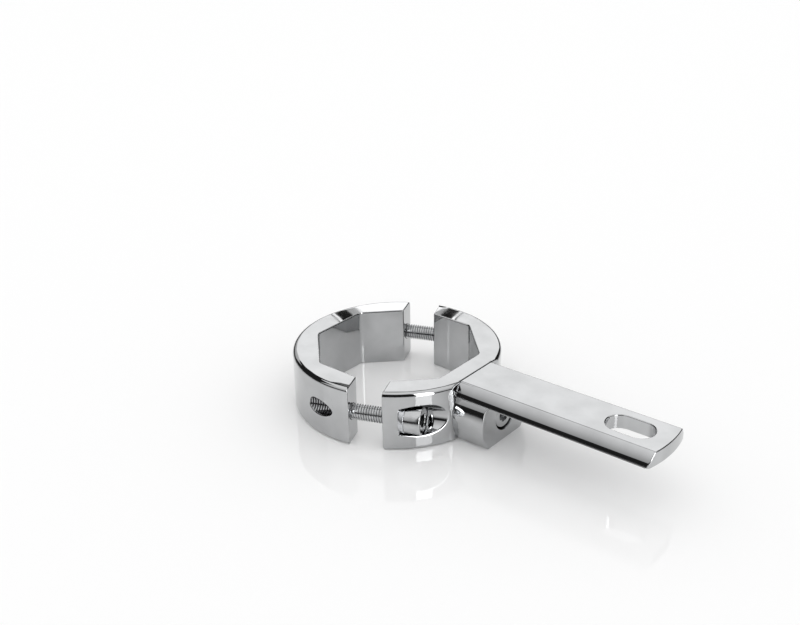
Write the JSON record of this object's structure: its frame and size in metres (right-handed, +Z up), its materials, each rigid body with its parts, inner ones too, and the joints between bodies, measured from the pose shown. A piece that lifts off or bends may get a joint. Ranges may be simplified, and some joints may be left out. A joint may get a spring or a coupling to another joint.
{
  "type": "headlight mounting bracket",
  "caption": "Chrome headlight bracket: a two-piece clamp ring for a fork tube, closed by cap screws, with a flat slotted arm screwed to its side.",
  "frame": {"origin": "middle of the clamp ring, on the plane of its lower face", "axes": "+X along the arm, from the ring to the arm's tip; +Z up along the fork tube; +Y completes the right-handed frame"},
  "size_m": [0.1282, 0.0695, 0.0192],
  "materials": {
    "clamp_chrome": "mirror-polished chrome plate",
    "arm_chrome": "mirror-polished chrome plate",
    "screw_chrome": "bright plated steel with cut threads",
    "washer_steel": "zinc-plated spring steel"
  },
  "bodies": {
    "bracket": {"arm_clamp_half": "clamp_chrome", "headlight_arm": "arm_chrome", "arm_fixing_screw": "screw_chrome", "front_spring_washer": "washer_steel", "rear_spring_washer": "washer_steel"},
    "threaded_half": {"threaded_clamp_half": "clamp_chrome"},
    "front_screw": {"front_clamp_screw": "screw_chrome"},
    "rear_screw": {"rear_clamp_screw": "screw_chrome"}
  },
  "joints": [
    {"name": "clamp_slide", "type": "slide", "parent": "bracket", "child": "threaded_half", "axis": [0.9239, 0.3827, 0], "range_m": [-0.002, 0.008]},
    {"name": "front_screw_turn", "type": "hinge", "parent": "bracket", "child": "front_screw", "pos_m": [0.01092, -0.02637, 0.0096], "axis": [-0.9239, -0.3827, 0], "range_deg": [-900, 3600]},
    {"name": "rear_screw_turn", "type": "hinge", "parent": "bracket", "child": "rear_screw", "pos_m": [-0.01092, 0.02637, 0.0096], "axis": [-0.9239, -0.3827, 0], "range_deg": [-900, 3600]}
  ],
  "couplings": [
    {"joint": "front_screw_turn", "follows": "clamp_slide", "rad_per_m": 7854},
    {"joint": "rear_screw_turn", "follows": "clamp_slide", "rad_per_m": 7854}
  ]
}
